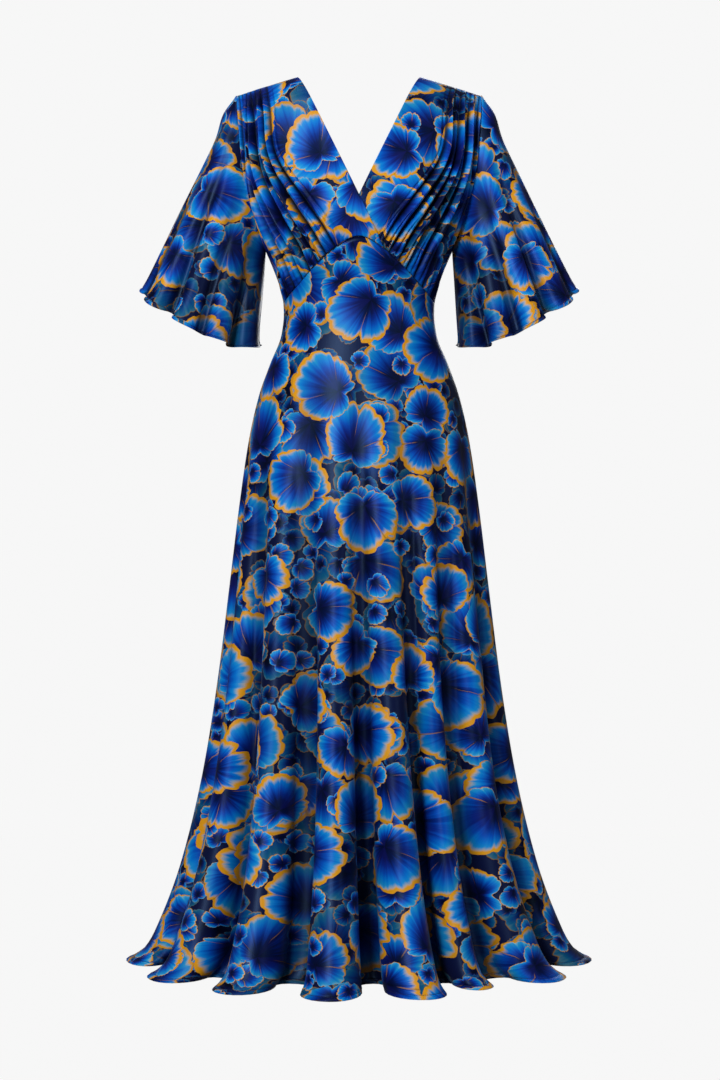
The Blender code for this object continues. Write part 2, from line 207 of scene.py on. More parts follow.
    # The golden rim is broad at the fan's far edge, and fades to a thin line towards the throat.
    broad = between(math("MULTIPLY_ADD", wander, 1.5, opening), 1.5, 2.9, 1.0, 0.18)
    width = math("MULTIPLY", math("MULTIPLY", given["Rim"], broad), between(streaks, 0.3, 0.7, 0.75, 1.2))
    glow = between(from_rim, math("MULTIPLY", width, 2.0), math("MULTIPLY", width, 0.7))
    glow = math("MULTIPLY", glow, broad)
    colour = mixed(math("MULTIPLY", glow, 0.8), colour, hex_colour("#f0c896"))
    rim = between(from_rim, math("MULTIPLY", width, 1.25), math("MULTIPLY", width, 0.65))
    colour = mixed(rim, colour, hex_colour("#fdb01a"))
    between_petals = between(petal, math("DIVIDE", 2.4 * MM, size), 0.0)
    between_petals = math("MULTIPLY", between_petals, between(share, 0.3, 0.5))
    colour = mixed(math("MULTIPLY", between_petals, 0.95), colour, hex_colour("#b98426"))
    colour = mixed(between(from_rim, 0.9 * MM, 0.2 * MM), colour, hex_colour("#a8701a"))
    inputs = {0: colour, 1: given["Light"]}
    dimmed = node(tree, "ShaderNodeVectorMath", inputs, operation="MULTIPLY").outputs[0]
    there = math("GREATER_THAN", given["Share"], math("FRACT", math("MULTIPLY", chance[1], 7.31)))
    cover = math("MULTIPLY", between(from_rim, 0.0, 0.6 * MM), there)
    node(tree, "NodeGroupOutput", {"Colour": dimmed, "Cover": cover})
    return tree


fans = fan_group()
print("fan group:", len(fans.nodes), "nodes")

# %% [markdown]
# ## The cloth's own material
#
# Satin is woven so that most of each thread floats on top of the cloth. That makes it smooth and glossy,
# with highlights that run along folds. A low bump of stretched noise stands in for the floats, and the
# gloss has a bluish tint because the dyed threads colour what they reflect. Shade is painted into the
# print as well: a vertex attribute says how deep in a fold the cloth lies, or how close a sleeve is to the
# body, and there the print is mixed towards near black for the light that hardly gets in.

# %% Layers of the print
GROUND = "#0f1640"
LAYERS = [  # spacing, radius and rim in mm, share of places filled, turn in radians, shift in m, light
    (96, 54, 1.4, 1.0, 0.2, 3.31, 0.3),
    (44, 19, 1.3, 0.85, 0.9, 2.13, 0.35),
    (50, 20, 1.4, 0.6, 0.4, 0.31, 0.9),
    (112, 57, 5.5, 0.85, 0.0, 0.05, 0.8),
    (70, 21, 1.5, 0.6, 1.3, 1.17, 1.0),
    (118, 55, 6.5, 0.8, 0.62, 0.73, 1.0),
    (146, 57, 7.5, 0.85, 1.1, 1.61, 1.0),
]


def print_colour(tree):
    """The print, as nodes in a material: returns the socket that carries its colour."""
    cloth = node(tree, "ShaderNodeUVMap", uv_map="cloth").outputs[0]
    colour = node(tree, "ShaderNodeRGB").outputs[0]
    colour.default_value = hex_colour(GROUND)
    for spacing, radius, rim, share, turn, shift, light in LAYERS:
        moved = node(
            tree, "ShaderNodeVectorMath", {0: cloth, 1: (shift, 0.37 * shift, 0)}, operation="ADD"
        ).outputs[0]
        layer = node(tree, "ShaderNodeGroup", node_tree=fans)
        tree.links.new(moved, layer.inputs["Place"])
        layer.inputs["Turn"].default_value = turn
        layer.inputs["Spacing"].default_value = spacing * MM
        layer.inputs["Radius"].default_value = radius * MM
        layer.inputs["Rim"].default_value = rim * MM
        layer.inputs["Share"].default_value = share
        layer.inputs["Light"].default_value = light
        colour = node(
            tree,
            "ShaderNodeMix",
            {"Factor": layer.outputs["Cover"], "A": colour, "B": layer.outputs["Colour"]},
            data_type="RGBA",
        ).outputs["Result"]
    return colour


def weave_bump(tree, strength):
    """Satin's long floats as fine uneven ridges along the cloth: returns the bumped normal."""
    cloth = node(tree, "ShaderNodeUVMap", uv_map="cloth").outputs[0]
    # The real floats lie 0.2 mm apart. They are drawn 1.5 mm apart, which is the finest that can show.
    stretched = node(tree, "ShaderNodeMapping", {"Vector": cloth, "Scale": (660, 70, 1)}).outputs[0]
    inputs = {"Vector": stretched, "Scale": 1.0, "Detail": 2.0, "Roughness": 0.6}
    floats = node(tree, "ShaderNodeTexNoise", inputs, noise_dimensions="2D").outputs[0]
    inputs = {"Height": floats, "Strength": strength, "Distance": 0.3 * MM}
    return node(tree, "ShaderNodeBump", inputs).outputs[0]


def printed_satin():
    """Polyester satin, printed: long floats on its right side give a soft, directional gloss. Shade is
    painted into its folds.
    """
    material = bpy.data.materials.new("printed_satin")
    material.use_nodes = True
    tree = material.node_tree
    shader = tree.nodes["Principled BSDF"]
    # Painted shade: where the vertex attribute is high, the print is mixed towards near black (#030514).
    painted_shade = node(tree, "ShaderNodeAttribute", attribute_name="painted_shade").outputs["Fac"]
    inputs = {"Factor": painted_shade, "A": print_colour(tree), "B": hex_colour("#030514")}
    shaded = node(tree, "ShaderNodeMix", inputs, data_type="RGBA").outputs["Result"]
    tree.links.new(shaded, shader.inputs["Base Color"])
    tree.links.new(weave_bump(tree, 0.25), shader.inputs["Normal"])
    shader.inputs["Roughness"].default_value = 0.4
    shader.inputs["Specular IOR Level"].default_value = 0.28
    shader.inputs["Specular Tint"].default_value = hex_colour("#9cc6ff")
    shader.inputs["Sheen Weight"].default_value = 0.05
    shader.inputs["Sheen Roughness"].default_value = 0.35
    shader.inputs["Sheen Tint"].default_value = hex_colour("#9ab8ff")
    return material


satin = printed_satin()
print("print:", len(LAYERS), "layers")

# %% [markdown]
# ## The wrong side
#
# The dye is printed on one face and only partly soaks through, so the wrong side of the satin shows the
# same fans as pale grey-blue ghosts. Its short floats scatter light, so it is also duller. The material
# uses the same print nodes and mixes most of their colour away.


# %% The wrong side's material
def satin_wrong_side():
    """The dull face of printed satin, where the print shows through faintly."""
    material = bpy.data.materials.new("satin_wrong_side")
    material.use_nodes = True
    tree = material.node_tree
    shader = tree.nodes["Principled BSDF"]
    inputs = {"Factor": 0.62, "A": print_colour(tree), "B": hex_colour("#52637c")}
    faded = node(tree, "ShaderNodeMix", inputs, data_type="RGBA").outputs["Result"]
    tree.links.new(faded, shader.inputs["Base Color"])
    tree.links.new(weave_bump(tree, 0.4), shader.inputs["Normal"])
    shader.inputs["Roughness"].default_value = 0.62
    shader.inputs["Specular IOR Level"].default_value = 0.2
    return material


wrong_side = satin_wrong_side()
print("wrong side:", len(wrong_side.node_tree.nodes), "nodes")

# %% [markdown]
# ## The form under the cloth
#
# Every panel lies on one smooth body form, so neighbours meet at their seams. The form is a stack of
# half ellipses, and each row of the table gives one of them. The sizes are those of the construction
# model, and here they are read as whole arrays at once, because the shells are about fifty times finer.

# %% The form's sizes, in mm
FORM = [  # height, half width, front depth, back depth
    (0, 214, 84, 88),
    (-30, 212, 88, 92),
    (-118, 205, 100, 104),
    (-180, 190, 113, 105),
    (-235, 170, 122, 102),
    (-276, 151.5, 119, 98),
    (-316, 134.7, 109, 93),
    (-340, 126.6, 103, 90),
    (-364, 121.8, 99, 88),
    (-380, 121.2, 98, 88),
    (-413, 125, 99, 93),
    (-461, 143.5, 105, 108),
    (-510, 161, 113, 124),
    (-582, 177.4, 124, 138),
    (-680, 192, 139, 150),
    (-824, 209.7, 162, 170),
    (-969, 228, 187, 192),
    (-1115, 251.6, 216, 220),
    (-1260, 286.3, 254, 256),
    (-1357, 322, 288, 290),
    (-1400, 345, 306, 308),
    (-1418, 371, 317, 318),
]
NECK_HALF_WIDTH = 99 * MM
SHOULDER_TIP = (198 * MM, -28 * MM)
SHOULDER_ROUNDING = 50 * MM
UNDERARM_HEIGHT = -276 * MM
SIDE_WAIST_HEIGHT = -366 * MM
HIP_HEIGHT = -455 * MM
HEM_HEIGHT = -1418 * MM
SEAM_GAP = 0.3 * MM
ARCH = [  # angle round the body, height of the seam under the gathered bodice
    (-90, -366), (-70, -358), (-51, -342), (-32, -316), (-16, -290), (0, -271),
    (16, -290), (32, -316), (51, -342), (70, -358), (90, -366),
]
BUST = {"across": 76 * MM, "height": -222 * MM, "wide": 50 * MM, "tall": 55 * MM, "full": 11 * MM}


# %% Reading the form
def smooth(table, at, column=1):
    """Reads a column of a table at values of its first column, on a cubic that doesn't overshoot."""
    rows = sorted(table)
    x = np.array([row[0] for row in rows], float)
    y = np.array([row[column] for row in rows], float)
    slope = np.diff(y) / np.diff(x)
    bend = np.zeros(len(x))
    bend[0], bend[-1] = slope[0], slope[-1]
    same_way = slope[:-1] * slope[1:] > 0
    bend[1:-1][same_way] = 2 / (1 / slope[:-1][same_way] + 1 / slope[1:][same_way])
    at = np.clip(at, x[0], x[-1])
    i = np.clip(np.searchsorted(x, at) - 1, 0, len(slope) - 1)
    wide = x[i + 1] - x[i]
    t = (at - x[i]) / wide
    low = y[i] * (1 + 2 * t) * (1 - t) ** 2 + bend[i] * wide * t * (1 - t) ** 2
    return low + y[i + 1] * t * t * (3 - 2 * t) + bend[i + 1] * wide * t * t * (t - 1)


def ease(low, high, at):
    """0 below low and 1 above high, with a smooth step between."""
    t = np.clip((at - low) / (high - low), 0, 1)
    return t * t * (3 - 2 * t)


def shoulder_line(across):
    """The height of the shoulder seam at a distance from the centre."""
    slope = SHOULDER_TIP[1] / (SHOULDER_TIP[0] - NECK_HALF_WIDTH)
    return np.maximum(abs(across) - NECK_HALF_WIDTH, 0) * slope


def body_points(angle, height, back=False, out=0.0):
    """Points on the form, pushed out of it. Angles are in degrees from the centre front or back."""
    angle, height = np.broadcast_arrays(np.asarray(angle, float), np.asarray(height, float))
    half_width = smooth(FORM, height / MM, 1) * MM
    deep = smooth(FORM, height / MM, 3 if back else 2) * MM
    turn = np.radians(angle)
    across = half_width * np.sin(turn)
    if not back:
        for side in (-1, 1):
            off = ((across - side * BUST["across"]) / BUST["wide"]) ** 2
            off = off + ((height - BUST["height"]) / BUST["tall"]) ** 2
            deep = deep + BUST["full"] * np.exp(-off)
    below = np.clip((shoulder_line(across) - height) / SHOULDER_ROUNDING, 0, 1)
    deep = deep * np.sqrt(1 - (1 - below) ** 2)
    way = np.stack([np.sin(turn) * deep, np.cos(turn) * half_width], -1)
    way = way / np.maximum(np.linalg.norm(way, axis=-1, keepdims=True), 1e-9)
    x = across + way[..., 0] * out
    y = deep * np.cos(turn) + way[..., 1] * out
    return np.stack([x, y if back else -y, height], -1)


def cloth_points(across, height, back=False, out=0.0):
    """Points on the form at a distance from the centre and a height."""
    half_width = smooth(FORM, height / MM, 1) * MM
    return body_points(np.degrees(np.arcsin(np.clip(across / half_width, -1, 1))), height, back, out)


print("waist girth:", round(float(np.pi * (121.2 + 93)), 0), "mm")

# %% [markdown]
# ## From rows of points to a panel of cloth
#
# Each panel is a grid of points. `shell` makes the faces, turns them so that they face out, and stores a
# UV map called "cloth". That map is the panel laid out in metres with its folds at less than half of their
# depth, so one print runs over every panel, drawn somewhat larger than on a bolt of satin. A Solidify
# modifier then gives the sheet its thin wall and puts the wrong-side material on the inner face.

# %% Helpers for shells
CLOTH_THICKNESS = 0.6 * MM
PRINT_FULLNESS = 0.45
STITCH_LIFT = 0.15 * MM
hem_lines = {}
cuts = {}


def shell(name, points, cloth, painted_shade, inside, closed=False):
    """A panel from grids of points, of places on flat cloth and of the shade painted on the cloth, deepest
    in its folds.
    """
    rows, columns = points.shape[:2]
    used = columns - 1 if closed else columns
    number = np.arange(rows * used).reshape(rows, used)
    if closed:
        number = np.hstack([number, number[:, :1]])
    place = np.arange(rows * columns).reshape(rows, columns)
    normal = np.cross(points[:-1, 1:] - points[:-1, :-1], points[1:, :-1] - points[:-1, :-1])
    outwards = np.sum(normal * (points - inside)[:-1, :-1]) > 0
    order = [(0, 0), (0, 1), (1, 1), (1, 0)]
    if not outwards:
        order.reverse()
    corner = {0: slice(None, -1), 1: slice(1, None)}
    faces = np.stack([number[corner[a], corner[b]] for a, b in order], -1).reshape(-1, 4)
    mapped = np.stack([place[corner[a], corner[b]] for a, b in order], -1).reshape(-1)
    mesh = bpy.data.meshes.new(name)
    mesh.from_pydata(points[:, :used].reshape(-1, 3).tolist(), [], faces.tolist())
    layer = mesh.uv_layers.new(name="cloth")
    layer.data.foreach_set("uv", cloth.reshape(-1, 2)[mapped].ravel())
    # The shade painted into the print is stored per point.
    depth = mesh.attributes.new("painted_shade", "FLOAT", "POINT")
    depth.data.foreach_set("value", np.broadcast_to(painted_shade, points.shape[:2])[:, :used].ravel())
    mesh.shade_smooth()
    mesh.materials.append(satin)
    mesh.materials.append(wrong_side)
    piece = bpy.data.objects.new(name, mesh)
    bpy.context.scene.collection.objects.link(piece)
    wall = piece.modifiers.new("wall", "SOLIDIFY")
    wall.thickness = CLOTH_THICKNESS
    wall.offset = -1
    wall.material_offset = 1
    print(name, "faces:", len(faces), "outwards:", bool(outwards))
    return piece


def lengths(points, axis):
    """Distances along a grid of points, counted from its first row or column."""
    steps = np.linalg.norm(np.diff(points, axis=axis), axis=-1)
    start = np.zeros_like(np.take(steps, [0], axis=axis))
    return np.concatenate([start, np.cumsum(steps, axis=axis)], axis=axis)


def ripple(u, v, seed, count=7):
    """Gentle unevenness from a few crossing waves, about -1 to 1."""
    random = np.random.default_rng(seed)
    total = 0.0
    for _ in range(count):
        wave = random.uniform(0.5, 2.2, 2) * random.choice([-1, 1], 2)
        total = total + np.sin(wave[0] * u + wave[1] * v + random.uniform(0, 2 * np.pi))
    return total / np.sqrt(count)


def flatten(points, step=(5, 4)):
    """Lays a panel out flat with the least stretch, in metres, from every few rows and columns of it."""
    picked = [np.unique(np.append(np.arange(0, n, k), n - 1)) for n, k in zip(points.shape, step)]
    coarse = points[np.ix_(*picked)]
    rows, columns = coarse.shape[:2]
    number = np.arange(rows * columns).reshape(rows, columns)
    faces = np.stack([number[:-1, :-1], number[:-1, 1:], number[1:, 1:], number[1:, :-1]], -1).reshape(-1, 4)
    mesh = bpy.data.meshes.new("toile")
    mesh.from_pydata(coarse.reshape(-1, 3).tolist(), [], faces.tolist())
    toile = bpy.data.objects.new("toile", mesh)
    bpy.context.scene.collection.objects.link(toile)
    bpy.context.view_layer.objects.active = toile
    bpy.ops.object.mode_set(mode="EDIT")
    bpy.ops.mesh.select_all(action="SELECT")
    bpy.ops.uv.unwrap(method="MINIMUM_STRETCH", iterations=12, margin=0)
    bpy.ops.object.mode_set(mode="OBJECT")
    read = np.empty(len(mesh.loops) * 2)
    mesh.uv_layers.active.data.foreach_get("uv", read)
    corner = np.empty(len(mesh.loops), int)
    mesh.loops.foreach_get("vertex_index", corner)
    flat = np.empty((rows * columns, 2))
    flat[corner] = read.reshape(-1, 2)
    area = sum(face.area for face in mesh.polygons)
    bpy.data.meshes.remove(mesh)
    turned = flat[faces]
    x, y = turned[..., 0], turned[..., 1]
    signed = np.sum(x * np.roll(y, -1, axis=1) - y * np.roll(x, -1, axis=1), axis=1) / 2
    flat = (flat * [np.sign(signed.sum()), 1] * np.sqrt(area / abs(signed.sum()))).reshape(rows, columns, 2)
    down = flat[-1, columns // 2] - flat[0, columns // 2]
    down = down / np.linalg.norm(down)
    flat = np.stack([flat @ [-down[1], down[0]], flat @ -down], -1)
    flat = flat - flat[0, columns // 2]
    wide = np.empty((rows, points.shape[1], 2))
    full = np.empty((*points.shape[:2], 2))
    for axis in (0, 1):
        for i in range(rows):
            wide[i, :, axis] = np.interp(np.arange(points.shape[1]), picked[1], flat[i, :, axis])
        for j in range(points.shape[1]):
            full[:, j, axis] = np.interp(np.arange(points.shape[0]), picked[0], wide[:, j, axis])
    return full


def flared_cut(name, points, area):
    """Notes a flared panel's flat size, taken as a slice of a ring between its upper edge and hem."""
    rows = lengths(points, 1)[:, -1]
    long = float(np.mean(lengths(points, 0)[-1]))
    spread = (rows[-1] - rows[0]) / long
    outer, inner = rows[-1] / spread, rows[0] / spread
    if spread < np.pi:
        size = (2 * outer * np.sin(spread / 2), outer - inner * np.cos(spread / 2))
    else:
        size = (2 * outer, outer - outer * np.cos(spread / 2))
    cuts[name] = (*map(float, size), float(area))
    return cuts[name]


def grid_area(points):
    """The area of a grid of points."""
    a, b = points[1:, 1:] - points[:-1, :-1], points[1:, :-1] - points[:-1, 1:]
    return float(np.linalg.norm(np.cross(a, b), axis=-1).sum() / 2)


def hem_line(points, row, inside):
    """One row of a panel's grid, lifted just off its outer face, for a row of stitches to follow."""
    along = np.gradient(points[row], axis=0)
    normal = np.cross(along, points[row + 1] - points[row - 1])
    normal = normal / np.maximum(np.linalg.norm(normal, axis=-1, keepdims=True), 1e-9)
    away = points[row] - np.broadcast_to(inside, points.shape)[row]
    return points[row] + normal * np.sign(np.sum(normal * away)) * STITCH_LIFT


def hem_profile(from_edge):
    """How far a narrow rolled hem stands out of the cloth, by the distance from the edge."""
    roll = 1.3 * MM * np.exp(-(((from_edge - 2.2 * MM) / (2.0 * MM)) ** 2))
    stitched = -1.3 * MM * np.exp(-(((from_edge - 5.6 * MM) / (1.1 * MM)) ** 2))
    lip = 3.5 * MM * np.exp(-from_edge / (9 * MM))
    return roll + stitched + lip


# %% [markdown]
# ## The skirt
#
# The skirt is cut in one with the midriff: smooth over the waist and the hip, and then so flared that it
# falls in deep flutes. One row of the table is one crest, from the wearer's right side seam round the
# front. Crests are broad and round like organ pipes, and the valleys between them are narrow, so the
# section of a flute is made of two arcs: a wide one over the crest and a tight one in the valley. Where
# the arcs turn past a right angle, low down, each pipe bulges over its valley.

# %% The skirt's flutes
FLUTES = [  # angle at the hip, angle at the hem, valley in mm, set_in in mm, width of the crest
    (-90, -90, 74, 0, 1.0),
    (-71, -57, 92, 0, 0.8),
    (-45, -32, 112, 0, 0.8),
    (-13, -6.8, 124, 0, 0.85),
    (10, 16, 88, 0, 1.0),
    (33, 33, 74, 34, 0.7),
    (56, 56, 84, 6, 0.8),
    (90, 90, 78, 0, 1.0),
    (112, 110, 92, 8, 1.0),
    (134, 130, 88, 0, 1.1),
    (153, 151, 104, 10, 0.9),
    (171, 172, 112, 0, 1.0),
    (189, 194, 96, 8, 1.1),
    (208, 213, 104, 0, 0.95),
    (228, 232, 84, 12, 1.0),
    (249, 251, 82, 0, 1.1),
]
LEFT_SIDE_FLUTE = 7
FLUTE_GROWTH = 1.55
SKIRT_STEPS_A_FLUTE = 24
MIDRIFF_ROWS = 24
SKIRT_ROWS = 112
HEM_STEPS = [8, 7.2, 6.6, 6, 5.4, 4.8, 4.2, 3.5, 2.8, 2.1, 1.4, 0.7, 0]  # mm above the edge
HEM_STITCHED = 5.4 * MM  # how far above the edge the hem is sewn
CREST_SHARE = 0.36  # of a flute's width, from the middle of its crest to the side wall
ROOF_SHARE = 0.76  # of a flute's depth, the part that belongs to the round crest


def flute(share, turned, width=1.0):
    """The section of a flute: how far across and how deep the cloth is. turned is the walls' angle."""
    along = np.minimum(share, 1 - share)
    top = 0.34
    crest = turned * np.clip(along / top, 0, 1)
    valley = turned * np.clip((0.5 - along) / (0.5 - top), 0, 1)
    lean, fall = np.sin(turned), 1 - np.cos(turned)
    wide = CREST_SHARE * width
    across = np.where(along < top, wide * np.sin(crest) / lean, 0.5 - (0.5 - wide) * np.sin(valley) / lean)
    roof = ROOF_SHARE * (1 - np.cos(crest)) / fall
    floor = 1 - (1 - ROOF_SHARE) * (1 - np.cos(valley)) / fall
    return np.where(share <= 0.5, across, 1 - across), np.where(along < top, roof, floor)


def skirt_points(turn, height, fullness=1.0):
    """Points of the skirt, and the shade painted in its valleys: turn counts the flutes round it, height is
    in metres.
    """
    turn, height = np.broadcast_arrays(turn, height)
    down = np.clip((HIP_HEIGHT - height) / (HIP_HEIGHT - HEM_HEIGHT), 0, 1)
    crest = np.floor(turn).astype(int)
    share = turn - crest
    table = np.array(FLUTES, float)
    before, after = crest % len(FLUTES), (crest + 1) % len(FLUTES)
    hip = np.stack([table[before, 0], table[after, 0] + 360 * (after == 0)])
    hem = np.stack([table[before, 1], table[after, 1] + 360 * (after == 0)])
    angles = hip + (hem - hip) * down
    width = np.where(share <= 0.5, table[before, 4], table[after, 4])
    leaning, rise = flute(share, np.radians(45 + 70 * down**0.8), width)
    leaning = share + (leaning - share) * ease(0, 0.5, down)
    angle = angles[0] + leaning * (angles[1] - angles[0]) + 360 * (crest // len(FLUTES))
    between = (1 - np.cos(np.pi * share)) / 2
    set_in = table[before, 3] * (1 - between) + table[after, 3] * between
    inward = (table[before, 2] * rise * fullness + set_in) * MM * down**FLUTE_GROWTH
    uneven = ripple(turn * 1.9, height * 5.5, 4) * 1.6 * MM * ease(0.0, 0.5, down)
    uneven = uneven + ripple(turn * 5.3, height * 3.2, 9) * 0.7 * MM * ease(0.1, 0.6, down)
    seam = np.minimum(abs(turn % len(FLUTES)), abs(turn - LEFT_SIDE_FLUTE))
    uneven = uneven * ease(0, 0.3, np.minimum(seam, abs(turn - len(FLUTES))))
    out = uneven - inward + hem_profile(height - HEM_HEIGHT)
    wrapped = (angle + 180) % 360 - 180
    front = body_points(np.clip(wrapped, -90, 90), height, out=out)
    # Painted shade: the flute valleys darken towards the hem, where little light reaches.
    painted_valley_shade = 0.8 * ease(0.3, 1, rise) * down**0.5
    turned = np.sign(wrapped) * (180 - abs(wrapped))
    rear = body_points(np.clip(turned, -90, 90), height, back=True, out=out)
    return np.where(abs(wrapped)[..., None] <= 90, front, rear), painted_valley_shade


def skirt_panel(name, front):
    """One skirt panel, from side seam to side seam."""
    first, last = (0, LEFT_SIDE_FLUTE) if front else (LEFT_SIDE_FLUTE, len(FLUTES))
    turns = np.linspace(first, last, (last - first) * SKIRT_STEPS_A_FLUTE + 1)
    hip_angle = np.interp(turns, range(len(FLUTES) + 1), [row[0] for row in FLUTES] + [270])
    top = SIDE_WAIST_HEIGHT - SEAM_GAP + 0 * turns
    if front:
        top = smooth(ARCH, hip_angle) * MM - SEAM_GAP
    above = np.linspace(0, 1, MIDRIFF_ROWS + 1)[:-1, None]
    upper = top * (1 - above) + HIP_HEIGHT * above
    long_rows = np.linspace(HIP_HEIGHT, HEM_HEIGHT + 9 * MM, SKIRT_ROWS)
    hem_rows = HEM_HEIGHT + np.array(HEM_STEPS) * MM
    lower = np.concatenate([long_rows, hem_rows])[:, None] + 0 * turns
    heights = np.vstack([upper, lower])
    points, painted_shade = skirt_points(turns, heights)
    points[:, [0, -1], 1] = -SEAM_GAP / 2 if front else SEAM_GAP / 2
    cloth = flatten(skirt_points(turns, heights, PRINT_FULLNESS)[0]) + [0 if front else 3.1, 0]
    row = int(np.argmin(abs(heights[:, 0] - HEM_HEIGHT - HEM_STITCHED)))
    hem_lines[name] = hem_line(points, row, points * [0, 0, 1])
    flared_cut(name, points, grid_area(points))
    return shell(name, points, cloth, painted_shade, points * [0, 0, 1])


# %% [markdown]
# ## The bodice
#
# Each front starts as a plain four-sided patch between the V edge, the shoulder seam, the armhole and the
# arched seam. It is gathered into that seam, so folds fan up from it, lean outwards past the bust and
# bunch along the armhole towards the shoulder. Gathered cloth has round crests and sharp valleys: one
# hump of a sine for each fold does that, and a small shift makes each fold lean to one side. Near the
# seam every fold splits in two. The folds come from a table for each front, so no two are alike.

# %% The bodice's edges
LAP = 3.6 * MM
LAP_FADE = (50 * MM, 85 * MM)
LAP_BEND = -2 * MM
BACK_V_DEPTH = 218 * MM
FRONT_ARMHOLE = [(-28, 198), (-80, 193), (-133, 188), (-180, 180), (-235, 165), (-276, 151.5)]
BACK_ARMHOLE = [(-28, 198), (-80, 195), (-133, 193), (-180, 184), (-235, 166), (-276, 151.5)]
FRONT_SPREAD = [  # share across a front, angle where that line of cloth meets the arched seam
    (0, -15), (0.4, 8), (0.6, 21), (0.8, 40), (0.93, 62), (1, 90),
]
GATHERS_FROM = 0.4
FRONT_PLAIN_STEPS, FRONT_FOLDED_STEPS, FRONT_SEAM_ROWS, FRONT_ROWS = 34, 169, 6, 104
BACK_STEPS, BACK_ROWS = 70, 120
SHORT_OF_THE_SIDE = 0.0012  # share across, so that a panel stops just before its neighbour
GATHERS_PUSHED = [(0, 0), (0.3, 0.1), (0.6, 0.2), (0.85, 0.08), (1, 0)]
GATHER_DEPTH = [(0, 2.5), (0.05, 10), (0.15, 17), (0.35, 18), (0.6, 15), (0.85, 10), (1, 3.0)]


def patch(bottom, top, inner, outer, across, up):
    """Points of a four-sided patch from its edges, for every share across and every share up."""
    a, u = across[None, :, None], up[:, None, None]
    blend = (1 - a) * inner(up)[:, None] + a * outer(up)[:, None]
    blend = blend + (1 - u) * bottom(across)[None] + u * top(across)[None]
    ends, zero, one = [], np.zeros(1), np.ones(1)
    for edge in (inner, outer):
        ends.append((1 - u) * edge(zero)[None] + u * edge(one)[None])
    return blend - (1 - a) * ends[0] - a * ends[1]


def shoulder_edge(across):
    x = NECK_HALF_WIDTH + across * (SHOULDER_TIP[0] - NECK_HALF_WIDTH)
    return np.stack([x, shoulder_line(x)], -1)


def side_edge(armhole, up):
    """The side seam up to the underarm and then the armhole, as distance from the centre and height."""
    height = SIDE_WAIST_HEIGHT + up * (SHOULDER_TIP[1] - SIDE_WAIST_HEIGHT)
    half_width = smooth(FORM, height / MM) * MM
    x = np.where(height < UNDERARM_HEIGHT, half_width, smooth(armhole, height / MM) * MM)
    return np.stack([x, height], -1)


def front_plan(across, up):
    """Where a front's cloth runs, as distance from the centre and height."""

    def bottom(share):
        angle = smooth(FRONT_SPREAD, share)
        height = smooth(ARCH, angle) * MM
        return np.stack([smooth(FORM, height / MM) * MM * np.sin(np.radians(angle)), height], -1)

    low, high = bottom(np.zeros(1)), np.array([[NECK_HALF_WIDTH, 0.0]])

    def inner(share):
        share = share[:, None]
        return low + share * (high - low) + 4 * share * (1 - share) * np.array([[LAP_BEND, 0.0]])

    return patch(bottom, shoulder_edge, inner, lambda u: side_edge(FRONT_ARMHOLE, u), across, up)


# %% The gathers
GATHERS = {  # for each front: where the valley before a fold lies, its fullness, its reach up
    "right": [
        (0.00, 0.5, 0.75), (0.17, 0.95, 1.0), (0.33, 1.15, 1.0), (0.47, 0.8, 0.8), (0.59, 1.15, 1.0),
        (0.72, 0.9, 1.0), (0.83, 0.95, 0.8), (0.92, 0.6, 1.0),
    ],
    "left": [
        (0.00, 0.45, 0.7), (0.15, 1.05, 1.0), (0.30, 0.9, 0.8), (0.45, 1.2, 1.0), (0.57, 0.85, 0.85),
        (0.69, 1.1, 1.0), (0.81, 0.9, 0.8), (0.91, 0.65, 1.0),
    ],
}


def gather_folds(past, up, table, seed):
    """How far a front's folds stand out, and the shade painted in their valleys. past runs across the
    gathered part, up from the seam.
    """
    starts = np.array([row[0] for row in table] + [1.0])
    full = np.array([row[1] for row in table])
    reach = np.array([row[2] for row in table])
    random = np.random.default_rng(seed)
    sway = random.uniform(-0.35, 0.35, (len(starts), 3)) * 0.045
    out = np.zeros((len(up), len(past)))
    painted_shade = np.zeros_like(out)
    for i, u in enumerate(up):
        moved = starts + sway[:, 0] * np.sin(3.1 * u) + sway[:, 1] * np.sin(7.3 * u + sway[:, 2] * 60)
        moved[0], moved[-1] = 0, 1
        moved = np.maximum.accumulate(moved + np.arange(len(moved)) * 1e-6)
        phase = np.interp(past, moved, np.arange(len(moved)))
        fold = np.minimum(phase.astype(int), len(full) - 1)
        strength = full * (1 - 0.85 * ease(reach * 0.55, reach * 0.55 + 0.35, u) * (reach < 0.99))
        leaning = np.clip(phase - fold, 0, 1) ** 1.3
        crest = np.sin(np.pi * leaning) ** 0.9
        split = abs(np.sin(2 * np.pi * leaning)) ** 0.8
        near_seam = 0.5 * (1 - ease(0.04, 0.3, u))
        rise = crest * (1 - near_seam) + split * near_seam
        height = strength[fold] * rise
        # Painted shade: the print darkens in the valleys between the gathers, a little less towards the
        # shoulder.
        painted_shade[i] = 0.97 * (1 - ease(0.1, 0.85, rise)) * (1 - 0.2 * ease(0.5, 1, u))
        out[i] = (height - 0.5 * strength.mean()) * smooth(GATHER_DEPTH, u) * MM
    fading = ease(0, 0.08, past)
    return out * fading, painted_shade * fading


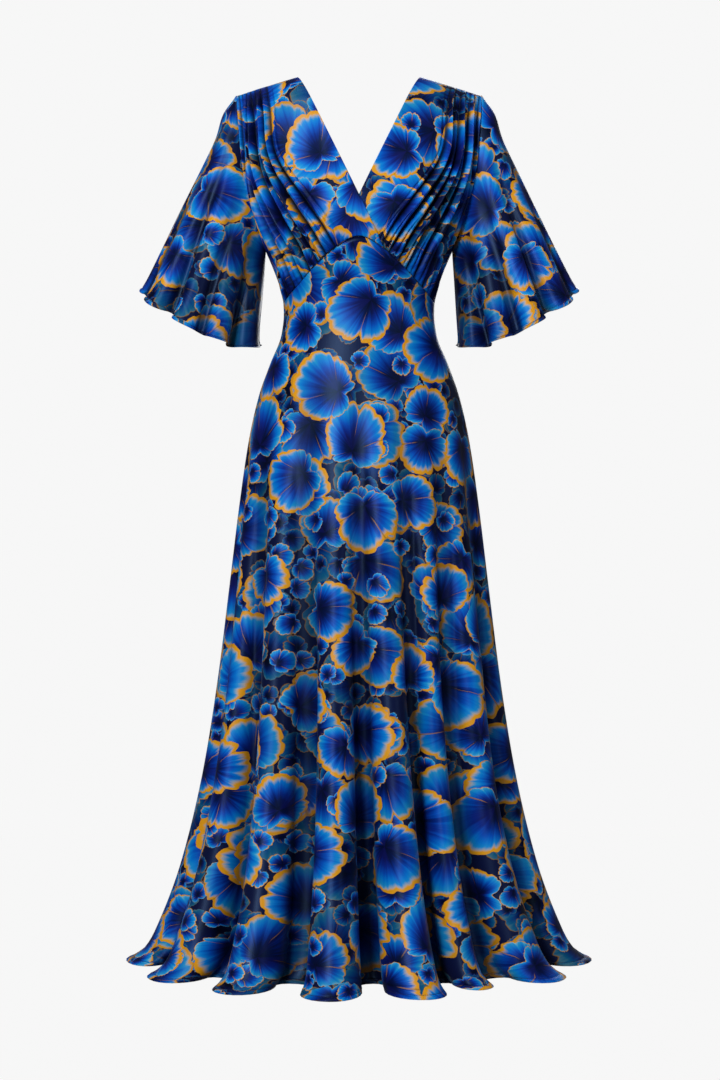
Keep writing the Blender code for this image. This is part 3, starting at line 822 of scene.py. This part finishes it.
def front_panel(name, side):
    """A wrap front. side is 1 for the wearer's left and -1 for the right, which laps over it."""
    plain = np.linspace(0, GATHERS_FROM, FRONT_PLAIN_STEPS, endpoint=False)
    folded = GATHERS_FROM + np.linspace(0, 1, FRONT_FOLDED_STEPS) * (1 - GATHERS_FROM)
    across = np.concatenate([plain, folded])
    across[-1] -= SHORT_OF_THE_SIDE
    near_seam = np.linspace(0, 0.03, FRONT_SEAM_ROWS + 1)[:-1]
    up = np.concatenate([near_seam, np.linspace(0.03, 1, FRONT_ROWS)])
    up[0] += 0.0016
    up[-1] -= 0.00001
    past = np.clip((across - GATHERS_FROM) / (1 - GATHERS_FROM), 0, 1)
    start = (GATHERS_FROM + smooth(GATHERS_PUSHED, up))[:, None]
    pushed = np.where(past > 0, start + past * (1 - start), across / GATHERS_FROM * start)
    plan = np.empty((len(up), len(across), 2))
    for i, u in enumerate(up):
        plan[i] = front_plan(pushed[i], np.array([u]))[0]
    x, height = plan[..., 0], plan[..., 1]
    out, painted_shade = gather_folds(past, up, GATHERS["left" if side > 0 else "right"], 11 + side)
    out = out + 2.5 * MM * (np.exp(-(((up[:, None] - 0.06) / 0.05) ** 2))) * ease(0, 0.2, past)
    out = out + ripple(pushed * 9, up[:, None] * 7, 21 + side) * 0.8 * MM * ease(0, 0.3, up)[:, None]
    out = out - 1.2 * MM * np.exp(-up[:, None] / 0.008)
    if side < 0:
        out = out + LAP * (1 - ease(*LAP_FADE, x))
    out = out * ease(0, 0.03, 1 - up)[:, None] * ease(0, 0.05, 1 - past)
    points = cloth_points(x, height, out=out)
    points[-1, :, 1] = -SEAM_GAP
    softened = cloth_points(x, height, out=out * PRINT_FULLNESS)
    cloth = flatten(softened) * [side, 1] + [2.3 + 0.4 * side, 0]
    wide, long = lengths(points, 1)[:, -1].max(), lengths(points, 0)[-1].max()
    cuts[name] = (float(wide), float(long), grid_area(points))
    return shell(name, points * [side, 1, 1], cloth, painted_shade, points * [0, 0, 1])


def back_panel(name):
    """The bodice back, in one piece, with its V."""
    across = np.linspace(0, 1, BACK_STEPS)
    across[-1] -= SHORT_OF_THE_SIDE
    up = np.linspace(0, 1, BACK_ROWS)
    up[0] += 0.0016
    up[-1] -= 0.00001
    notch = 1 - BACK_V_DEPTH / -SIDE_WAIST_HEIGHT
    up[np.argmin(abs(up - notch))] = notch

    def bottom(share):
        angle = np.radians(90.0 * share)
        half_width = smooth(FORM, SIDE_WAIST_HEIGHT / MM) * MM
        return np.stack([half_width * np.sin(angle), SIDE_WAIST_HEIGHT + 0 * share], -1)

    def inner(share):
        rise = np.maximum(share - notch, 0) / (1 - notch)
        return np.stack([NECK_HALF_WIDTH * rise, SIDE_WAIST_HEIGHT * (1 - share)], -1)

    plan = patch(bottom, shoulder_edge, inner, lambda u: side_edge(BACK_ARMHOLE, u), across, up)
    x, height = plan[..., 0], plan[..., 1]
    plain_points = cloth_points(x, height, back=True)
    soft = ripple(x * 30, height * 14, 31) * 1.2 * MM
    soft = soft * (ease(0, 0.2, up) * ease(0, 0.1, 1 - up))[:, None]
    points = cloth_points(x, height, back=True, out=soft * ease(0, 0.12, 1 - across))
    points[-1, :, 1] = SEAM_GAP
    arc = lengths(plain_points, 1) + x[:, :1]
    halves = [points * [side, 1, 1] for side in (-1, 1)]
    whole = np.concatenate([halves[0][:, ::-1], halves[1]], axis=1)
    wide = 2 * float(lengths(points, 1)[:, -1].max() + x[:, 0].max())
    cuts[name] = (wide, float(lengths(points, 0)[-1].max()), 2 * grid_area(points))
    flat = np.stack([arc, height], -1)
    cloth = np.concatenate([(flat * [-1, 1])[:, ::-1], flat], axis=1) + [4.1, 0]
    return whole, cloth, notch


def make_back(name):
    """The back panel: its two halves in one sheet, without the faces that would fill the V."""
    whole, cloth, notch = back_panel(name)
    piece = shell(name, whole, cloth, 0.0, whole * [0, 0, 1])
    sheet = bmesh.new()
    sheet.from_mesh(piece.data)
    above = SIDE_WAIST_HEIGHT * (1 - notch)
    in_the_v = []
    for face in sheet.faces:
        x = [corner.co.x for corner in face.verts]
        if min(x) < -1e-7 and max(x) > 1e-7 and face.calc_center_median().z > above:
            in_the_v.append(face)
    bmesh.ops.delete(sheet, geom=in_the_v, context="FACES")
    bmesh.ops.remove_doubles(sheet, verts=sheet.verts, dist=0.01 * MM)
    sheet.to_mesh(piece.data)
    sheet.free()
    return piece


# %% [markdown]
# ## The sleeves
#
# A sleeve is a wide flared ring of cloth, set into the armhole, that ends in a slanting hem by the elbow.
# It is fluted like the skirt, only less deeply.

# %% The sleeves
SLEEVE_HEM_OUTER = (351 * MM, -341 * MM)
SLEEVE_HEM_INNER = (157 * MM, -428 * MM)
SLEEVE_HALF_DEPTH = 102 * MM
SLEEVE_FRONT_DROP = 32 * MM
SLEEVE_BACK_DROP = 6 * MM
SLEEVE_START = -1.6 * MM  # tucked under the bodice's edge
SLEEVE_PUFF = 6 * MM
SLEEVE_LENGTH = 330  # mm, along its outer side
SLEEVE_STEPS_A_FLUTE = 20
SLEEVE_ROWS = 60
SLEEVE_HEM_STEPS = [7, 6.2, 5.4, 4.6, 3.8, 3, 2.2, 1.4, 0.7, 0]  # mm above the edge; the third is sewn
UNDERARM_TURN = 4.6
SLEEVE_FLUTES = [  # angle round the sleeve from its top, depth in mm
    (0, 6), (38, 20), (74, 15), (112, 20), (150, 4), (205, 4), (250, 16), (296, 17), (332, 9),
]


def sleeve_points(turn, rows, side, fullness=1.0):
    """Points of a sleeve and the shade painted on it: turn counts the flutes round it, rows is the share of
    the way down.
    """
    table = np.array(SLEEVE_FLUTES, float)
    crest = np.minimum(np.floor(turn).astype(int), len(table) - 1)
    share = turn - crest
    after = (crest + 1) % len(table)
    start = table[crest, 0]
    end = table[after, 0] + 360 * (after == 0)
    top_height, low_height = SHOULDER_TIP[1], UNDERARM_HEIGHT
    points = np.empty((len(rows), len(turn), 3))
    painted_shade = np.empty((len(rows), len(turn)))
    for i, down in enumerate(rows):
        leaning, rise = flute(share, np.radians(45 + 40 * down))
        leaning = share + (leaning - share) * ease(0, 0.6, down)
        around = np.radians(start + leaning * (end - start))
        height = (top_height + low_height) / 2 + (top_height - low_height) / 2 * np.cos(around)
        behind = np.sin(around) < 0
        at_front = cloth_points(smooth(FRONT_ARMHOLE, height / MM) * MM, height)
        at_back = cloth_points(smooth(BACK_ARMHOLE, height / MM) * MM, height, back=True)
        at_armhole = np.where(behind[:, None], at_back, at_front)
        puffed = SLEEVE_PUFF * np.exp(-(((down - 0.09) / 0.07) ** 2)) * np.maximum(np.cos(around), 0)
        at_armhole = at_armhole + np.stack([SLEEVE_START + puffed, 0 * turn, puffed], -1)
        outer, inner = np.array(SLEEVE_HEM_OUTER), np.array(SLEEVE_HEM_INNER)
        hem = (outer + inner) / 2 + (outer - inner) / 2 * np.cos(around)[:, None]
        drop = np.where(behind, SLEEVE_BACK_DROP, SLEEVE_FRONT_DROP)
        at_hem = np.stack(
            [hem[:, 0], -SLEEVE_HALF_DEPTH * np.sin(around), hem[:, 1] - drop * abs(np.sin(around))], -1
        )
        centre = np.stack([0 * turn + (outer[0] + inner[0]) / 2, 0 * turn, at_hem[:, 2]], -1)
        inward = centre - at_hem
        inward = inward / np.maximum(np.linalg.norm(inward, axis=-1, keepdims=True), 1e-9)
        depth = table[crest, 1] * 1.6 * MM * down**1.4 * rise * fullness
        # Painted shade: flute valleys darken towards the hem, and the sleeve's side that faces the body is
        # darkened for the shade between sleeve and body.
        shade = 0.75 * ease(-0.2, 0.9, -np.cos(around)) * ease(0, 0.2, down)
        painted_shade[i] = np.maximum(0.9 * ease(0.3, 1, rise) * down**0.6, shade)
        depth = depth - hem_profile((1 - down) * SLEEVE_LENGTH * MM)
        depth = depth + ripple(turn * 1.4, down * 3, 40 + side) * 1.2 * MM * down
        spread = down**0.9
        points[i] = at_armhole * (1 - spread) + at_hem * spread + inward * depth[:, None]
    return points * [side, 1, 1], painted_shade


def sleeve_panel(name, side):
    """A sleeve, from the armhole to its hem. Its own seam is under the arm."""
    steps = len(SLEEVE_FLUTES) * SLEEVE_STEPS_A_FLUTE
    turn = np.arange(steps + 1) % steps + UNDERARM_TURN * SLEEVE_STEPS_A_FLUTE
    turn = turn % steps / SLEEVE_STEPS_A_FLUTE
    hem_rows = 1 - np.array(SLEEVE_HEM_STEPS) / SLEEVE_LENGTH
    rows = np.concatenate([np.linspace(0, 0.975, SLEEVE_ROWS), hem_rows])
    points, painted_shade = sleeve_points(turn, rows, side)
    cloth = flatten(sleeve_points(turn, rows, side, PRINT_FULLNESS)[0]) + [6.5 + side, 0]
    middle = points.mean(axis=1, keepdims=True)
    hem_lines[name] = hem_line(points, SLEEVE_ROWS + 2, middle)
    flared_cut(name, points, grid_area(points))
    return shell(name, points, cloth, painted_shade, points.mean(axis=1, keepdims=True), closed=True)


# %% [markdown]
# ## Cutting and hanging every panel
#
# A maker cuts seven panels for this dress, and each one is made here under its own name. They stand in
# for the construction model's solids of the same names.

# %% Make the panels
panels = {
    "skirt_front": skirt_panel("cloth_skirt_front", True),
    "skirt_back": skirt_panel("cloth_skirt_back", False),
    "bodice_front_right": front_panel("cloth_bodice_front_right", -1),
    "bodice_front_left": front_panel("cloth_bodice_front_left", 1),
    "bodice_back": make_back("cloth_bodice_back"),
    "sleeve_right": sleeve_panel("cloth_sleeve_right", -1),
    "sleeve_left": sleeve_panel("cloth_sleeve_left", 1),
}
print(len(panels), "panels")

# %% [markdown]
# ## Hem stitches
#
# The skirt and the sleeves end in a narrow rolled hem, held by one row of machine stitches in navy
# polyester thread. A stitch repeats along a path, which is what Geometry Nodes are good at: the tree puts
# a short rod of thread at every step along the hem, turned to follow it. The rods are then made real and
# turned into a plain mesh, because the export keeps no instances.


# %% A tree that sews a row of stitches
def stitch_tree():
    """Geometry Nodes that lay stitches along the edges of a mesh."""
    tree = bpy.data.node_groups.new("hem_stitches", "GeometryNodeTree")
    tree.interface.new_socket("Line", in_out="INPUT", socket_type="NodeSocketGeometry")
    for name in ("Stitch", "Thread", "Pitch"):
        tree.interface.new_socket(name, in_out="INPUT", socket_type="NodeSocketFloat")
    tree.interface.new_socket("Material", in_out="INPUT", socket_type="NodeSocketMaterial")
    tree.interface.new_socket("Stitches", in_out="OUTPUT", socket_type="NodeSocketGeometry")
    given = tree.nodes.new("NodeGroupInput").outputs
    path = node(tree, "GeometryNodeMeshToCurve", {"Mesh": given["Line"]}).outputs[0]
    inputs = {"Curve": path, "Length": given["Pitch"]}
    steps = node(tree, "GeometryNodeCurveToPoints", inputs, mode="LENGTH").outputs
    inputs = {"Vertices": 6, "Radius": given["Thread"], "Depth": given["Stitch"]}
    rod = node(tree, "GeometryNodeMeshCylinder", inputs).outputs[0]
    inputs = {"Vector": steps["Tangent"]}
    turn = node(tree, "FunctionNodeAlignRotationToVector", inputs, axis="Z").outputs[0]
    inputs = {"Points": steps["Points"], "Instance": rod, "Rotation": turn}
    laid = node(tree, "GeometryNodeInstanceOnPoints", inputs).outputs[0]
    real = node(tree, "GeometryNodeRealizeInstances", {"Geometry": laid}).outputs[0]
    inputs = {"Geometry": real, "Material": given["Material"]}
    sewn = node(tree, "GeometryNodeSetMaterial", inputs).outputs[0]
    node(tree, "NodeGroupOutput", {"Stitches": sewn})
    return tree


# %% Navy sewing thread
thread = bpy.data.materials.new("polyester_thread")
thread.use_nodes = True
thread_tree = thread.node_tree
inputs = {"Vector": node(thread_tree, "ShaderNodeTexCoord").outputs["Object"], "Scale": 900.0, "Detail": 1.0}
fibres = node(thread_tree, "ShaderNodeTexNoise", inputs).outputs[0]
inputs = {"Factor": fibres, "A": hex_colour("#0b1230"), "B": hex_colour("#26356a")}
twisted = node(thread_tree, "ShaderNodeMix", inputs, data_type="RGBA").outputs["Result"]
thread_shader = thread_tree.nodes["Principled BSDF"]
thread_tree.links.new(twisted, thread_shader.inputs["Base Color"])
thread_shader.inputs["Roughness"].default_value = 0.55
print("thread made")

# %% Sew the hems
STITCH_SIZES = {"Stitch": 2.6 * MM, "Thread": 0.3 * MM, "Pitch": 3.2 * MM}
sewing = stitch_tree()


def sew(name, line):
    """A row of stitches along a line of points, as a plain mesh."""
    mesh = bpy.data.meshes.new(name + "_line")
    mesh.from_pydata(line.tolist(), [(i, i + 1) for i in range(len(line) - 1)], [])
    guide = bpy.data.objects.new(name + "_line", mesh)
    bpy.context.scene.collection.objects.link(guide)
    sewn = guide.modifiers.new("sewing", "NODES")
    sewn.node_group = sewing
    for socket in sewing.interface.items_tree:
        if socket.name in STITCH_SIZES:
            sewn[socket.identifier] = STITCH_SIZES[socket.name]
        if socket.name == "Material":
            sewn[socket.identifier] = thread
    evaluated = guide.evaluated_get(bpy.context.evaluated_depsgraph_get())
    row = bpy.data.objects.new(name, bpy.data.meshes.new_from_object(evaluated))
    bpy.data.objects.remove(guide)
    bpy.context.scene.collection.objects.link(row)
    print(name, "faces:", len(row.data.polygons))
    return row


stitches = {name: sew(name.replace("cloth", "stitches"), line) for name, line in hem_lines.items()}

# %% [markdown]
#
# Nothing on the dress moves, so every piece rides on the root. Each panel is a sheet of cloth with a flat
# size, and these sizes are rough. A bodice front is as wide and as long as its longest lines, the back
# adds its longest row to the half width of its V, and a flared panel is taken as a slice of a ring. Laid
# out flat, some come out narrower: the back 0.43 m, the skirt 1.56 and 1.73 m, and a sleeve 0.66 m.

for cad_node, piece in panels.items():
    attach(piece, "root")
    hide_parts(cad_node)
    hem = [stitches[piece.name]] if piece.name in stitches else []
    for row in hem:
        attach(row, "root")
    wide, long, area = cuts[piece.name]
    area = min(area, wide * long)
    print(cad_node, "cut", round(wide, 3), "by", round(long, 3), "m, area", round(area, 3), "m2")

# %% [markdown]
# ## Studio
#
# The dress floats in a round room of plain white paper. The wall curves up from the floor, so there is
# no line behind the dress from any side. The paper glows evenly and takes next to no shadow.

# %% Paper floor and wall
FLOOR_HEIGHT = -1.62
ROOM, CORNER, WALL_TOP, SIDES = 9.0, 3.0, 14.0, 96
arc = np.linspace(0, np.pi / 2, 12)
profile = [(3.0, 0.0)]
profile += [(ROOM + CORNER * np.sin(t), CORNER * (1 - np.cos(t))) for t in arc]
profile += [(ROOM + CORNER, WALL_TOP)]
turns = np.linspace(0, 2 * np.pi, SIDES, endpoint=False)
corners = [(r * np.cos(t), r * np.sin(t), FLOOR_HEIGHT + z) for r, z in profile for t in turns]
faces = []
for ring in range(len(profile) - 1):
    for i in range(SIDES):
        here, after = ring * SIDES + i, ring * SIDES + (i + 1) % SIDES
        faces.append((here, after, after + SIDES, here + SIDES))
faces.append(tuple(range(SIDES)))
paper_mesh = bpy.data.meshes.new("studio_floor")
paper_mesh.from_pydata(corners, [], faces)
paper_mesh.shade_smooth()
floor = bpy.data.objects.new("studio_floor", paper_mesh)
bpy.context.scene.collection.objects.link(floor)
print("room:", len(faces), "faces")

# %% White paper
paper = bpy.data.materials.new("paper_backdrop")
paper.use_nodes = True
paper_shader = paper.node_tree.nodes["Principled BSDF"]
paper_shader.inputs["Base Color"].default_value = hex_colour("#0c0c0c")
paper_shader.inputs["Specular IOR Level"].default_value = 0.0
paper_shader.inputs["Roughness"].default_value = 0.9
paper_shader.inputs["Emission Color"].default_value = (1, 1, 1, 1)
paper_shader.inputs["Emission Strength"].default_value = 0.929
paper_mesh.materials.append(paper)
floor.visible_diffuse = False
floor.visible_glossy = False

# %% [markdown]
# ## Light
#
# A tall soft box stands in front, a little to the wearer's right and above, and gives the satin its long
# highlights. A weak fill opens the shadows, and lamps behind and above draw the edges.

# %% Lamps
LAMPS = [  # name, place, size across and up in m, power in W, aimed at
    ("key", (-1.5, -3.6, 1.0), (0.7, 1.6), 98, (0, 0, -0.75)),
    ("fill", (2.6, -2.6, 0.0), (0.8, 2.2), 10, (0, 0, -0.8)),
    ("back", (0.6, 3.6, 0.8), (1.6, 2.0), 40, (0, 0, -0.7)),
    ("top", (0.0, -0.8, 2.2), (1.6, 1.2), 14, (0, 0, -0.4)),
]
for name, place, size, power, target in LAMPS:
    data = bpy.data.lights.new(name, "AREA")
    data.shape = "RECTANGLE"
    data.size, data.size_y = size
    data.energy = power
    lamp = bpy.data.objects.new(name, data)
    lamp.location = place
    lamp.rotation_euler = (Vector(target) - Vector(place)).to_track_quat("-Z", "Y").to_euler()
    bpy.context.scene.collection.objects.link(lamp)

world = bpy.data.worlds.new("studio")
bpy.context.scene.world = world
world.use_nodes = True
world.node_tree.nodes["Background"].inputs["Color"].default_value = (1, 1, 1, 1)
world.node_tree.nodes["Background"].inputs["Strength"].default_value = 0.07
print(len(LAMPS), "lamps")
